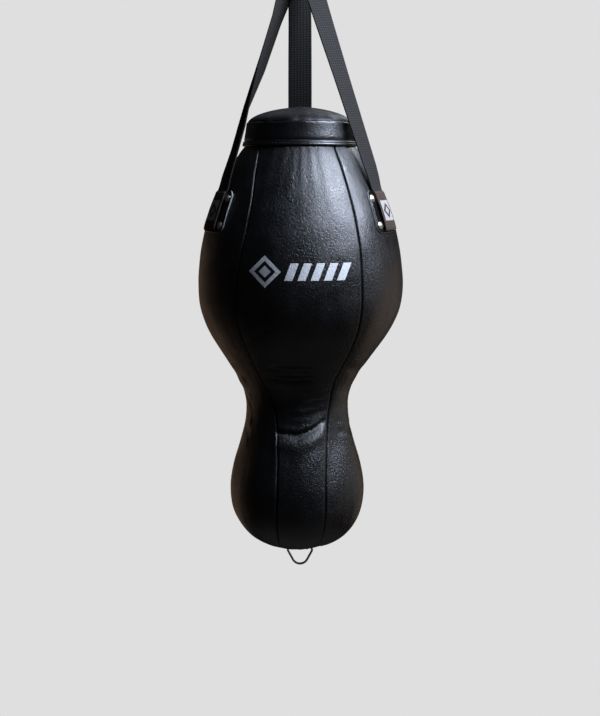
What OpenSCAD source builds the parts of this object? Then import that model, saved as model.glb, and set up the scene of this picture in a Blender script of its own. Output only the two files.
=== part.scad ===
// Hanging punch bag of two lobes: a wide upper body, a neck and a small lower ball.
// It hangs by three webbing straps from a delta ring, under a ball-bearing swivel.
// The origin is the centre of the swivel's eye. +Z is up and the front faces -Y.

/* [Bag body] */
// Radius of the body at the lower edge of the collar
shoulder_r = 113; // [105:1:135]
// Largest radius of the upper body
body_r = 212; // [176:1:256]
// Radius of the neck between the two lobes
neck_r = 107; // [90:1:125]
// Largest radius of the lower ball
ball_r = 143; // [119:1:172]
// Height from the collar's lower edge down to the widest line of the body
body_drop = 278; // [231:1:334]
// Height from there down to the narrowest line of the neck
neck_drop = 255; // [212:1:306]
// Height from there down to the widest line of the ball
ball_drop = 184; // [153:1:221]
// Height from there down to the ball's lowest point
ball_h = 128; // [108:1:154]

/* [Lid and collar] */
// Height of the padded lid above the collar
lid_h = 32; // [26:1:39]
// Height of the collar band
collar_h = 47; // [39:1:56]
// Outer radius of the collar's upper edge
collar_top_r = 108; // [100:1:112]
// Thickness of the collar band
collar_t = 2.8; // [2.2:0.1:3.4]
// Height of the hem sewn along the collar's lower edge
hem_h = 10; // [8:0.5:12]
// Thickness of the hem
hem_t = 1.2; // [1:0.1:1.5]

/* [Layers] */
// Thickness of the leather panels
leather_t = 2.5; // [2:0.1:3]
// Thickness of the foam under the leather
foam_t = 22; // [18:1:26]
// Thickness of the canvas sack round the filling
sack_t = 1.5; // [1.2:0.1:1.8]
// Gap between two sewn panels
seam_gap = 0.5; // [0.4:0.1:0.6]
// Gap between two pieces that lie on each other
lay_gap = 0.2; // [0.15:0.05:0.25]

/* [Front panel] */
// Half the front panel's width under the collar
seam_shoulder_w = 77; // [66:1:88]
// Half its width at the widest line of the body
seam_body_w = 122; // [104:1:140]
// Half its width at the neck
seam_neck_w = 52; // [46:1:66]
// Half its width at the ball
seam_ball_w = 48; // [40:1:56]
// Radius of the round base that closes the panels at the bottom
base_r = 62; // [54:1:72]

/* [Straps] */
// Width of the strap webbing
strap_w = 50; // [42:1:52]
// Thickness of the strap webbing
strap_t = 3.2; // [2.7:0.1:3.8]
// Drop from the sewn strap head to the top of the lid
strap_drop = 325; // [270:1:390]
// Length of the sewn strap head under the ring's bar
head_len = 60; // [50:1:72]
// Thickness of the short web that wraps the ring's bar
wrap_t = 2.5; // [2.1:0.1:3]
// How far the two front anchors stand round from the front
anchor_turn = 65; // [62:1:68]

/* [Anchors] */
// Leather of an anchor patch beyond its rivets
patch_rim = 6; // [5:0.5:7]
// Height of an anchor patch
patch_h = 88; // [80:1:104]
// Thickness of an anchor patch
patch_t = 3.4; // [2.8:0.1:4]
// Corner radius of an anchor patch
patch_corner = 14; // [11:1:17]
// Drop from the collar's lower edge to the middle of a patch
patch_drop = 130; // [115:1:150]
// Thickness of the label web over the strap
label_t = 2.2; // [1.8:0.1:2.6]
// Height of the label web
label_h = 83; // [74:1:86]
// Gap between a strap's edge and the rivets beside it
rivet_beside = 2; // [1.5:0.1:2.5]
// Spacing of the rivets up the bag
rivet_gap_h = 56; // [50:1:66]
// Radius of a rivet's cap
rivet_cap_r = 7; // [6:0.1:8]
// Radius of a rivet's shank
rivet_r = 2.2; // [1.9:0.1:2.6]
// Thickness of the leather backing inside the panel
backing_t = 2.6; // [2.2:0.1:3.1]

/* [Top ring] */
// Radius of the top ring's wire
ring_wire_r = 5; // [4.2:0.1:5.6]
// How far the ring is turned about the bag's axis
ring_turn = 32; // [27:1:38]
// Height between the ring's corner centres and its tip centre
ring_rise = 38; // [34:1:45]

/* [Swivel] */
// Radius of the hole in the eye
eye_hole_r = 10; // [8.5:0.1:12]
// Thickness of the eye
eye_t = 14; // [12:0.5:16]
// Width of the eye's metal round the hole
eye_rim = 11; // [9:0.5:13]
// Radius of the swivel's shank
shank_r = 8; // [6.8:0.1:9]
// Outer radius of the swivel's housing
housing_r = 22; // [20.5:0.1:26]
// Wall of the swivel's housing
housing_wall = 3.5; // [2.9:0.1:4.2]
// Radius of a bearing ball
bearing_ball_r = 2.95; // [2.5:0.05:3.2]
// Number of bearing balls
bearing_balls_n = 10; // [8:1:10]
// Radius of the clevis pin
pin_r = 6; // [5:0.1:7]

/* [Bottom ring] */
// Radius of the bottom ring's wire
low_wire_r = 2.4; // [2:0.1:2.9]
// Half the bottom ring's width, to the middle of its wire
low_half_w = 26; // [24:0.5:31]
// Height of the bottom ring, to the middle of its wire
low_h = 37; // [30:1:44]
// Radius of the bottom ring's round tip
low_tip_r = 17; // [12:0.5:20]
// Radius of the bottom ring's two corners
low_corner_r = 6; // [5:0.5:7]
// Thickness of the tab that holds the bottom ring
tab_t = 2.2; // [1.8:0.1:2.6]

/* [Hidden] */
$fn = 64;

leather = "#16171a";
webbing = "#2b2d31";
label_web = "#2a2421";
steel = "#b9bcc0";
foam = "#7d8288";
canvas = "#c9c2b0";
textile = "#8f8a86";

far = 1000;
running = 0.06;   // a steel shaft in its steel hole, on the radius
pin_play = 0.1;   // the ring's wire round the clevis pin
web_play = 0.3;   // web round a wire it turns on

// Swivel, from the eye downwards
eye_r = eye_hole_r + eye_rim;
housing_bore = housing_r - housing_wall;
housing_roof = 7;
housing_top = -eye_r - 9;
race_t = 4;
race_r = housing_bore - 1.5;
ball_ring_r = (race_r + shank_r) / 2 + 0.5;
roof_under = housing_top - housing_roof;
balls_z = roof_under - race_t - bearing_ball_r;
lower_race_top = balls_z - bearing_ball_r - 0.02;
nut_af = min(26, 2 * housing_bore * cos(30) - 2);
nut_h = 10;
nut_top = lower_race_top - race_t;
split_pin_r = 1.2;
split_pin_head_r = split_pin_r + 0.8;
split_pin_z = nut_top - nut_h - split_pin_head_r - 0.2;
shank_end = split_pin_z - 3.5;
plug_top = shank_end - 3;
plug_h = 10;
housing_bottom = plug_top - plug_h;
flange_h = 6;
clevis_web = 4;
slot_play = 0.7;
ear_in = ring_wire_r + slot_play;
ear_t = 6;
ear_r = pin_r + 7;
tip_r = pin_r + pin_play + ring_wire_r;
pin_z = housing_bottom - flange_h - clevis_web - tip_r - ring_wire_r - 1.7;
pin_head_t = 5;
pin_head_r = pin_r + 3;
pin_nut_t = 7;

// Top ring and strap head
wrap_in = ring_wire_r + web_play;
ring_half_w = strap_w / 2 + 2 + tip_r;
corner_z = pin_z - ring_rise;
bar_z = corner_z - tip_r;
head_z = bar_z - head_len;
strap_pitch = (2 * wrap_in - strap_t) / 2;
head_play = 0.25;
strap_ease = 0.5;

// Bag body, from the lid downwards
crown_z = head_z - strap_drop;
collar_top_z = crown_z - lid_h;
collar_low_z = collar_top_z - collar_h;
body_z = collar_low_z - body_drop;
neck_z = body_z - neck_drop;
ball_z = neck_z - ball_drop;
base_z = ball_z - ball_h;
rim_h = 14;
rim_t = 2;
rim_play = 0.6;
throat_r = collar_top_r - collar_t - rim_t - rim_play - 1.1;
throat_z = collar_top_z - 12;
body_ease = 1.2;
shoulder_power = 0.85;
ball_power = 2.2;
lid_power = 1.8;

// Radius of the bag's outside at height z
function smooth(t) = (1 - cos(180 * t)) / 2;
function bag_r(z) =
  z > collar_low_z ? shoulder_r - (shoulder_r - throat_r) * (z - collar_low_z) / collar_h :
  z > body_z ? shoulder_r + (body_r - shoulder_r)
    * pow(sin(90 * (collar_low_z - z) / body_drop), shoulder_power) :
  z > neck_z ? body_r + (neck_r - body_r) * smooth(pow((body_z - z) / neck_drop, body_ease)) :
  z > ball_z ? neck_r + (ball_r - neck_r) * smooth((neck_z - z) / ball_drop) :
  ball_r * pow(max(0, 1 - pow((ball_z - z) / ball_h, ball_power)), 1 / ball_power);

// How far the outside leans out of the vertical at height z, in degrees
function lean(z) = atan((bag_r(z - 1) - bag_r(z + 1)) / 2);

// Half width of the front panel at height z
function seam_w(z) =
  z > collar_low_z ? seam_shoulder_w - (shoulder_r - throat_r) / 2 * (z - collar_low_z) / collar_h :
  z > body_z ? seam_shoulder_w
    + (seam_body_w - seam_shoulder_w) * sin(90 * (collar_low_z - z) / body_drop) :
  z > neck_z ? seam_body_w + (seam_neck_w - seam_body_w) * smooth((body_z - z) / neck_drop) :
  z > ball_z ? seam_neck_w + (seam_ball_w - seam_neck_w) * smooth((neck_z - z) / ball_drop) :
  seam_ball_w;

// Heights at which the bag's outline is drawn, from the top down to the ball's widest line
body_steps = 9;
neck_steps = 11;
ball_steps = 6;
base_steps = 9;
outline_z = concat(
  [collar_top_z, collar_low_z],
  [for (i = [1:body_steps]) collar_low_z - body_drop * i / body_steps],
  [for (i = [1:neck_steps]) body_z - neck_drop * i / neck_steps],
  [for (i = [1:ball_steps]) neck_z - ball_drop * i / ball_steps]
);

// Radius of that outline at height z, between the heights where it is drawn
outline_pairs = [for (z = outline_z) [z, bag_r(z)]];
function drawn_r(z) = lookup(z, outline_pairs);

// Outline of the bag pulled in by d all round, down to its lowest point
function outline(d, top_z) = concat(
  [[bag_r(top_z) - d, top_z]],
  [for (z = outline_z) if (z < top_z) [bag_r(z) - d, z]],
  [for (i = [1:base_steps]) let (a = 90 * i / base_steps)
    [(ball_r - d) * pow(max(0, cos(a)), 2 / ball_power),
     ball_z - (ball_h - d) * pow(sin(a), 2 / ball_power)]]
);

module bag_solid(d, top_z) {
  rotate_extrude() polygon(concat([[0, top_z]], outline(d, top_z)));
}

module bag_shell(d_out, d_in, top_z) {
  outer = outline(d_out, top_z);
  inner = outline(d_in, top_z);
  n = len(inner);
  rotate_extrude() polygon(concat(outer, [for (i = [1:n]) inner[n - i]]));
}

// Local frame on the bag's outside: +Z outwards, +Y up along it, at turn degrees round from the front
module on_bag(turn, z, u = 0, v = 0) {
  zz = z + v * cos(lean(z));
  rr = drawn_r(zz);
  rotate([0, 0, turn + u / rr * 180 / PI])
    translate([0, -rr, zz])
    rotate([90 - lean(zz), 0, 0])
    children();
}

anchor_z = collar_low_z - patch_drop;
rivet_gap_w = strap_w + 2 * (rivet_beside + rivet_cap_r);
patch_w = rivet_gap_w + 2 * (rivet_cap_r + patch_rim);
LEFT = -anchor_turn;
RIGHT = anchor_turn;
BACK = 180;
anchors = [LEFT, RIGHT, BACK];

module rounded_plate(w, h, corner) {
  square([w - 2 * corner, h], center = true);
  square([w, h - 2 * corner], center = true);
  for (x = [-1, 1], y = [-1, 1])
    translate([x * (w / 2 - corner), y * (h / 2 - corner)]) circle(corner);
}

// A sheet that lies on the bag's outside between the offsets d_in and d_out
module sheet_on_bag(turn, d_in, d_out, w, h, corner) {
  high = anchor_z + h / 2 + 12;
  low = anchor_z - h / 2 - 12;
  zs = concat([high], [for (z = outline_z) if (z < high && z > low) z], [low]);
  last = len(zs) - 1;
  intersection() {
    rotate_extrude() polygon(concat(
      [for (z = zs) [drawn_r(z) + d_out, z]],
      [for (i = [0:last]) let (z = zs[last - i]) [drawn_r(z) + d_in, z]]
    ));
    on_bag(turn, anchor_z)
      translate([0, 0, -60]) linear_extrude(120) rounded_plate(w, h, corner);
  }
}

module at_rivets(turn) {
  for (u = [-1, 1], v = [-1, 1])
    on_bag(turn, anchor_z, u * rivet_gap_w / 2, v * rivet_gap_h / 2) children();
}

module rivet_holes(turn) {
  at_rivets(turn) translate([0, 0, -30]) cylinder(r = rivet_r + 0.1, h = 60);
}

// Swivel ------------------------------------------------------------------

module swivel_eye_bolt() {
  color(steel) difference() {
    union() {
      rotate([90, 0, 0]) cylinder(r = eye_r, h = eye_t, center = true);
      translate([0, 0, shank_end]) cylinder(r = shank_r, h = -shank_end - eye_hole_r - 3);
    }
    rotate([90, 0, 0]) cylinder(r = eye_hole_r, h = 4 * eye_t, center = true);
    translate([0, 0, split_pin_z]) rotate([90, 0, 0])
      cylinder(r = split_pin_r + 0.1, h = 3 * shank_r, center = true);
  }
}

module swivel_nut() {
  color(steel) translate([0, 0, nut_top - nut_h]) difference() {
    cylinder(d = nut_af / cos(30), h = nut_h, $fn = 6);
    translate([0, 0, -1]) cylinder(r = shank_r + 0.05, h = nut_h + 2);
  }
}

module swivel_split_pin() {
  reach = shank_r + 5;
  color(steel) translate([0, 0, split_pin_z]) rotate([90, 0, 0]) {
    cylinder(r = split_pin_r, h = 2 * reach, center = true);
    translate([0, 0, reach]) sphere(split_pin_head_r);
  }
}

module race(z, bore) {
  color(steel) translate([0, 0, z]) difference() {
    cylinder(r = race_r, h = race_t);
    translate([0, 0, -1]) cylinder(r = bore, h = race_t + 2);
  }
}

module bearing_lower_race() {
  race(nut_top, shank_r + 0.05);
}

module bearing_upper_race() {
  race(roof_under - race_t, shank_r + 1);
}

module bearing_balls() {
  color(steel) for (i = [0:bearing_balls_n - 1])
    rotate([0, 0, 360 * i / bearing_balls_n])
      translate([ball_ring_r, 0, balls_z]) sphere(bearing_ball_r);
}

module swivel_housing() {
  color(steel) difference() {
    translate([0, 0, housing_bottom]) cylinder(r = housing_r, h = housing_top - housing_bottom);
    translate([0, 0, housing_bottom - 1]) cylinder(r = housing_bore, h = roof_under - housing_bottom + 1);
    translate([0, 0, housing_bottom]) cylinder(r = shank_r + running, h = far);
  }
}

module clevis_ear(side) {
  translate([0, side * (ear_in + ear_t / 2), 0]) {
    translate([0, 0, pin_z]) rotate([90, 0, 0]) cylinder(r = ear_r, h = ear_t, center = true);
    translate([-ear_r, -ear_t / 2, pin_z]) cube([2 * ear_r, ear_t, housing_bottom - flange_h - pin_z]);
  }
}

module swivel_clevis() {
  color(steel) rotate([0, 0, ring_turn]) difference() {
    union() {
      translate([0, 0, housing_bottom]) cylinder(r = housing_bore - 0.1, h = plug_h);
      translate([0, 0, housing_bottom - flange_h]) cylinder(r = housing_r, h = flange_h);
      translate([-ear_r, -ear_in - ear_t, housing_bottom - flange_h - clevis_web])
        cube([2 * ear_r, 2 * (ear_in + ear_t), clevis_web]);
      for (side = [-1, 1]) clevis_ear(side);
    }
    translate([0, 0, pin_z]) rotate([90, 0, 0])
      cylinder(r = pin_r + 0.1, h = 8 * ear_t, center = true);
  }
}

ear_out = ear_in + ear_t;

module clevis_pin() {
  tail = ear_out + pin_nut_t + 2;
  color(steel) rotate([0, 0, ring_turn]) translate([0, 0, pin_z]) {
    translate([0, tail, 0]) rotate([90, 0, 0]) cylinder(r = pin_r, h = ear_out + tail + 0.1);
    translate([0, -ear_out - 0.1, 0]) rotate([90, 0, 0])
      cylinder(r = pin_head_r, h = pin_head_t);
  }
}

module clevis_pin_nut() {
  color(steel) rotate([0, 0, ring_turn]) translate([0, ear_out + 0.1, pin_z]) rotate([-90, 0, 0])
    difference() {
      cylinder(r = pin_r + 4.5, h = pin_nut_t, $fn = 6);
      translate([0, 0, -1]) cylinder(r = pin_r + 0.05, h = pin_nut_t + 2);
    }
}

// Rings --------------------------------------------------------------------

// A three-sided ring of round wire in the XZ plane: its bar lies along X at the origin
// and its tip is at height h. Every corner is an arc; the straight wires are a hair
// thinner and reach a hair into the arcs, so the pieces join cleanly.
module delta_ring(half_w, h, corner_r, tip_r, wire_r) {
  cx = half_w - corner_r;
  dz = h - tip_r - corner_r;
  span = sqrt(cx * cx + dz * dz);
  side = atan2(dz, -cx) - acos((corner_r - tip_r) / span);
  side_len = sqrt(span * span - pow(corner_r - tip_r, 2));
  thin = wire_r - 0.02;
  into = 0.3;
  rotate([90, 0, 0]) {
    rotate([0, 90, 0]) cylinder(r = thin, h = 2 * cx + 2 * into, center = true);
    for (m = [0, 180]) rotate([0, m, 0]) {
      translate([cx, corner_r]) rotate([0, 0, -90])
        rotate_extrude(angle = side + 90) translate([corner_r, 0]) circle(wire_r);
      translate([cx + corner_r * cos(side), corner_r + corner_r * sin(side)])
        rotate([0, 0, side]) rotate([-90, 0, 0]) translate([0, 0, -into])
          cylinder(r = thin, h = side_len + 2 * into);
    }
    translate([0, h - tip_r]) rotate([0, 0, side])
      rotate_extrude(angle = 180 - 2 * side) translate([tip_r, 0]) circle(wire_r);
  }
}

module top_ring() {
  color(steel) rotate([0, 0, ring_turn]) translate([0, 0, bar_z])
    delta_ring(ring_half_w, pin_z - bar_z + tip_r, tip_r, tip_r, ring_wire_r);
}

low_bar_z = base_z - low_wire_r - tab_t - 0.5;

module bottom_ring() {
  color(steel) translate([0, 0, low_bar_z]) mirror([0, 0, 1])
    delta_ring(low_half_w, low_h, low_corner_r, low_tip_r, low_wire_r);
}

tab_w = 2 * (low_half_w - low_corner_r) - 4;
tab_in = low_wire_r + web_play;
tab_out = tab_in + tab_t;
tab_top = base_z + leather_t + foam_t * 0.6;

// A web of width w folded round a bar at the origin, its two legs reaching up to height h
module folded_web(w, r_in, r_out, h) {
  rotate([90, 0, 90]) translate([0, 0, -w / 2]) linear_extrude(w) difference() {
    union() {
      circle(r_out);
      translate([-r_out, 0]) square([2 * r_out, h]);
    }
    circle(r_in);
    translate([-r_in, 0]) square([2 * r_in, h + 1]);
  }
}

module ring_tab() {
  color(webbing) translate([0, 0, low_bar_z])
    folded_web(tab_w, tab_in, tab_out, tab_top - low_bar_z);
}

module ring_wrap() {
  color(webbing) rotate([0, 0, ring_turn]) translate([0, 0, bar_z]) mirror([0, 0, 1])
    folded_web(strap_w, wrap_in, wrap_in + wrap_t, head_len);
}

// Straps -------------------------------------------------------------------

// Each strap leaves the sewn head, runs straight to its anchor and lies down the bag there.
// The stations say how far its flat has turned at shares of the free run.
left_turns = [[0, ring_turn - 180], [0.3, -112], [0.5, -106], [0.64, -90], [0.75, -76], [1, LEFT]];
right_turns = [[0, ring_turn], [0.2, 38], [0.55, 50], [0.9, 57], [1, RIGHT]];
back_turns = [[0, ring_turn], [0.2, 25], [0.6, 7], [1, 0]];

strap_off = patch_t + 2 * lay_gap + strap_ease + strap_t / 2 / cos(lean(anchor_z));
free_end_z = anchor_z + patch_h / 2 * cos(lean(anchor_z)) + 4;
strap_end_z = anchor_z - (label_h / 2 - 6) * cos(lean(anchor_z));
strap_top_z = bar_z - ring_wire_r - 5;
free_r = bag_r(free_end_z) + strap_off;
free_run = head_z - free_end_z;
bend_ease = 4;
bend_drop = 12;
bend_end = (free_run - bend_drop + sqrt(pow(free_run - bend_drop, 2) + bend_ease * bend_ease)) / 2;

function strap_r(z) = let (u = head_z - bend_drop - z)
  z < free_end_z ? bag_r(z) + strap_off :
  free_r * (u + sqrt(u * u + bend_ease * bend_ease)) / 2 / bend_end;
function share(z) = min(1, max(0, (head_z - bend_drop - z) / (free_run - bend_drop)));
function settle(t) = t * t * (3 - 2 * t);

// Middle of a strap at height z; lift is its place in the sewn head, front to back
function strap_mid(turn, lift, z) = let (hold = lift * settle(1 - min(1, share(z) * 3)))
  [strap_r(z) * sin(turn) - hold * sin(ring_turn), -strap_r(z) * cos(turn) + hold * cos(ring_turn), z];

function unit(v) = v / norm(v);

// Points across the strap, as shares of its half width
across = [-1, -0.5, 0, 0.5, 1];

// One closed ring of points round a strap at height z
function strap_ring(turn, lift, turns, z) =
  let (mid = strap_mid(turn, lift, z),
       along = unit(strap_mid(turn, lift, z - 1) - strap_mid(turn, lift, z + 1)),
       a = lookup(share(z), turns),
       flat = [cos(a), sin(a), 0],
       wide = unit(flat - (flat * along) * along),
       thick = cross(along, wide),
       outwards = thick * [sin(turn), -cos(turn), 0] > 0 ? 1 : -1,
       hug = settle(min(1, max(0, (free_end_z + 30 - z) / 30))),
       curve_r = bag_r(min(z, free_end_z)) + strap_off)
  concat(
    [for (s = across) let (q = s * strap_w / 2)
      mid + wide * q + thick * (strap_t / 2 - outwards * hug * (curve_r - sqrt(curve_r * curve_r - q * q)))],
    [for (i = [1:len(across)]) let (q = across[len(across) - i] * strap_w / 2)
      mid + wide * q + thick * (-strap_t / 2 - outwards * hug * (curve_r - sqrt(curve_r * curve_r - q * q)))]
  );

free_steps = 20;
lie_steps = 6;
bend_steps = 4;
strap_zs = concat(
  [strap_top_z, head_z],
  [for (i = [1:bend_steps]) head_z - 2 * bend_drop * i / bend_steps],
  [for (i = [1:free_steps]) head_z - 2 * bend_drop - (free_run - 2 * bend_drop) * i / free_steps],
  [for (i = [1:lie_steps]) free_end_z - (free_end_z - strap_end_z) * i / lie_steps]
);

module strap(turn, lift, turns) {
  rings = [for (z = strap_zs) strap_ring(turn, lift, turns, z)];
  n = len(rings);
  m = len(rings[0]);
  color(webbing) polyhedron(
    points = [for (ring = rings) each ring],
    faces = concat(
      [[for (k = [0:m - 1]) k]],
      [for (i = [0:n - 2], k = [0:m - 1]) let (j = (k + 1) % m, a = i * m, b = a + m)
        each [[a + k, b + k, a + j], [a + j, b + k, b + j]]],
      [[for (k = [0:m - 1]) n * m - 1 - k]]
    )
  );
}

module left_strap() {
  strap(LEFT, 0, left_turns);
}

module right_strap() {
  strap(RIGHT, -strap_pitch + head_play, right_turns);
}

module back_strap() {
  strap(BACK, strap_pitch - head_play, back_turns);
}

// Anchors ------------------------------------------------------------------

module patch(turn) {
  color(leather) difference() {
    sheet_on_bag(turn, lay_gap, lay_gap + patch_t, patch_w, patch_h, patch_corner);
    rivet_holes(turn);
  }
}

module label(turn) {
  under = strap_off + strap_t / 2 / cos(lean(anchor_z)) + lay_gap;
  color(label_web) sheet_on_bag(turn, under, under + label_t, strap_w, label_h, 1);
}

module backing(turn) {
  color(leather) difference() {
    sheet_on_bag(turn, -leather_t - lay_gap - backing_t, -leather_t - lay_gap, patch_w, patch_h, patch_corner);
    rivet_holes(turn);
  }
}

module left_patch() { patch(LEFT); }
module right_patch() { patch(RIGHT); }
module back_patch() { patch(BACK); }
module left_label() { label(LEFT); }
module right_label() { label(RIGHT); }
module back_label() { label(BACK); }
module left_backing() { backing(LEFT); }
module right_backing() { backing(RIGHT); }
module back_backing() { backing(BACK); }

cap_h = 2.4;
washer_t = 1.2;
tail_h = 1.4;
washer_z = -leather_t - backing_t - lay_gap - washer_t;

module patch_rivets() {
  seat = lay_gap + patch_t + 0.05;
  cap_ball_r = (rivet_cap_r * rivet_cap_r + cap_h * cap_h) / (2 * cap_h);
  color(steel) for (turn = anchors) at_rivets(turn) {
    intersection() {
      translate([0, 0, seat + cap_h - cap_ball_r]) sphere(cap_ball_r);
      translate([0, 0, seat]) cylinder(r = rivet_cap_r, h = cap_h + 1);
    }
    translate([0, 0, washer_z - tail_h]) cylinder(r = rivet_r, h = seat - washer_z + tail_h + 0.5);
    translate([0, 0, washer_z - tail_h]) cylinder(r = rivet_r + 1, h = tail_h - 0.05);
  }
}

module rivet_washers() {
  color(steel) for (turn = anchors) at_rivets(turn) translate([0, 0, washer_z]) difference() {
    cylinder(r = rivet_cap_r - 1, h = washer_t);
    translate([0, 0, -1]) cylinder(r = rivet_r + 0.1, h = washer_t + 2);
  }
}

// Leather shell --------------------------------------------------------------

seam_zs = concat(outline_z, [base_z - 20]);

// Everything in front of the front panel's seams, or beside them with side = 1 or -1
module seam_prism(side) {
  n = len(seam_zs);
  edge = side == 0 ? 0 : far;
  gap = side == 0 ? -seam_gap / 2 : seam_gap / 2;
  left = [for (z = seam_zs) [side == 0 ? -seam_w(z) - gap : edge, z]];
  right = [for (i = [1:n]) let (z = seam_zs[n - i]) [seam_w(z) + gap, z]];
  rotate([90, 0, 0]) linear_extrude(far) polygon(
    concat(left, right)
  );
}

// A panel of the shell: end = 1 at the front, -1 at the back; side as in seam_prism
module panel(end, side) {
  color(leather) difference() {
    intersection() {
      bag_shell(0, leather_t, collar_top_z);
      scale_y(end) translate([0, -seam_gap / 2, 0]) scale_x(side == -1 ? -1 : 1)
        seam_prism(side == 0 ? 0 : 1);
    }
    translate([0, 0, base_z - far / 2]) cylinder(r = base_r + seam_gap, h = far / 2 + ball_h / 2);
    if (side != 0 && end == 1) rivet_holes(side * anchor_turn);
    if (side == 0 && end == -1) rivet_holes(BACK);
  }
}

module scale_y(s) {
  if (s < 0) mirror([0, 1, 0]) children();
  else children();
}

module scale_x(s) {
  if (s < 0) mirror([1, 0, 0]) children();
  else children();
}

module front_panel() { panel(1, 0); }
module back_panel() { panel(-1, 0); }
module left_front_panel() { panel(1, -1); }
module right_front_panel() { panel(1, 1); }
module left_back_panel() { panel(-1, -1); }
module right_back_panel() { panel(-1, 1); }

module round_base() {
  color(leather) difference() {
    intersection() {
      bag_shell(0, leather_t, ball_z);
      translate([0, 0, base_z - 10]) cylinder(r = base_r, h = ball_h / 2);
    }
    tab_slot();
  }
}

module tab_slot() {
  translate([-tab_w / 2 - 0.5, -tab_out - 0.2, base_z - 30])
    cube([tab_w + 1, 2 * tab_out + 0.4, tab_top - base_z + 30.5]);
}

// Lid and collar ---------------------------------------------------------------

lid_r = throat_r + lay_gap + rim_t;

function lid_arc(a, h) = [for (i = [0:8]) let (t = 90 * i / 8)
  [a * pow(max(0, sin(t)), 2 / lid_power), collar_top_z + h * pow(max(0, cos(t)), 2 / lid_power)]];

module lid_dome() {
  rim_grow = (shoulder_r - throat_r) * rim_h / collar_h;
  outer = lid_arc(lid_r, lid_h);
  inner = lid_arc(lid_r - leather_t, lid_h - leather_t);
  color(leather) rotate_extrude() polygon(concat(
    outer,
    [[lid_r + rim_grow, collar_top_z - rim_h],
     [lid_r + rim_grow - rim_t, collar_top_z - rim_h],
     [lid_r - rim_t, collar_top_z]],
    [for (i = [0:8]) inner[8 - i]]
  ));
}

module lid_foam() {
  inner_r = throat_r - leather_t - lay_gap;
  arc = lid_arc(inner_r - 1, lid_h - leather_t - lay_gap);
  color(foam) rotate_extrude() polygon(concat(
    [[0, throat_z + lay_gap], [inner_r, throat_z + lay_gap], [inner_r, collar_top_z - 1]],
    [for (i = [0:8]) arc[8 - i]]
  ));
}

function collar_in(z) = let (low = shoulder_r + 0.3, top = collar_top_r - collar_t)
  low + (top - low) * (z - collar_low_z) / collar_h;

module collar_ring(d_in, d_out, z_low, z_top) {
  color(leather) rotate_extrude() polygon([
    [collar_in(z_low) + d_in, z_low], [collar_in(z_low) + d_out, z_low],
    [collar_in(z_top) + d_out, z_top], [collar_in(z_top) + d_in, z_top]
  ]);
}

module collar_band() {
  collar_ring(0, collar_t, collar_low_z, collar_top_z);
}

module collar_hem() {
  collar_ring(collar_t, collar_t + hem_t, collar_low_z, collar_low_z + hem_h);
}

// Inside -----------------------------------------------------------------------

foam_out = leather_t + lay_gap;
foam_in = foam_out + foam_t;

module foam_padding() {
  recess = leather_t + backing_t + washer_t + tail_h + 2 * lay_gap + 1;
  color(foam) difference() {
    bag_shell(foam_out, foam_in, throat_z);
    for (turn = anchors) sheet_on_bag(turn, -recess, 1, patch_w + 6, patch_h + 6, patch_corner);
    tab_slot();
  }
}

module inner_sack() {
  color(canvas) difference() {
    bag_solid(foam_in + lay_gap, throat_z);
    bag_solid(foam_in + lay_gap + sack_t, throat_z - sack_t);
  }
}

module textile_filling() {
  color(textile) bag_solid(foam_in + 2 * lay_gap + sack_t, throat_z - sack_t - lay_gap);
}

swivel_eye_bolt();
swivel_nut();
swivel_split_pin();
bearing_lower_race();
bearing_balls();
bearing_upper_race();
swivel_housing();
swivel_clevis();
clevis_pin();
clevis_pin_nut();
top_ring();
ring_wrap();
left_strap();
right_strap();
back_strap();
left_patch();
right_patch();
back_patch();
left_label();
right_label();
back_label();
left_backing();
right_backing();
back_backing();
patch_rivets();
rivet_washers();
front_panel();
back_panel();
left_front_panel();
right_front_panel();
left_back_panel();
right_back_panel();
round_base();
lid_dome();
lid_foam();
collar_band();
collar_hem();
foam_padding();
inner_sack();
textile_filling();
ring_tab();
bottom_ring();
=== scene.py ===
# %% [markdown]
# # A leather heavy bag in two lobes
# The bag has a wide body, a narrow neck and a round lower ball. It hangs by three webbing
# straps from a ring and a swivel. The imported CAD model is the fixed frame: it gives every
# place and size. This lesson builds the soft pieces again with the shape leather and web
# really take, and gives every piece a finish made of shader nodes.

# %% Load the frame
import functools
import math

import bmesh
import bpy
import numpy as np
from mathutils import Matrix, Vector


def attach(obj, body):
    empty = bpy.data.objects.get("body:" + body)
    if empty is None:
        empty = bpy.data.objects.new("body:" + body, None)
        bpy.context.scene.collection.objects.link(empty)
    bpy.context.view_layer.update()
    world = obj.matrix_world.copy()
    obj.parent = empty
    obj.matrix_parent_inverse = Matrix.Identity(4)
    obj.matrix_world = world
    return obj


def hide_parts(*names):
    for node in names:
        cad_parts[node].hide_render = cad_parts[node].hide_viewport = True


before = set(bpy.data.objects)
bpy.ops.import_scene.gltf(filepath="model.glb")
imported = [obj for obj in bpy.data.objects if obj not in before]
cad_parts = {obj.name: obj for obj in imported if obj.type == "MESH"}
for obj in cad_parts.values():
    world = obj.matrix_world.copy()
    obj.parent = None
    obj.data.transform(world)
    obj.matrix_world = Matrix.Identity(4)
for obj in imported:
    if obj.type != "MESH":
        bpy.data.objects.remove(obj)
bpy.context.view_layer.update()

MM = 0.001

# %% [markdown]
# ## Small helpers
# Colours are written as the hex values a painter would pick, so one function turns them to
# the linear values Blender wants. One more adds a shader node with its settings and links.

# %% Colour and node helpers
def hex_colour(code):
    values = [int(code[i:i + 2], 16) / 255 for i in (1, 3, 5)]
    linear = [v / 12.92 if v <= 0.04045 else ((v + 0.055) / 1.055) ** 2.4 for v in values]
    return (*linear, 1.0)


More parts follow.
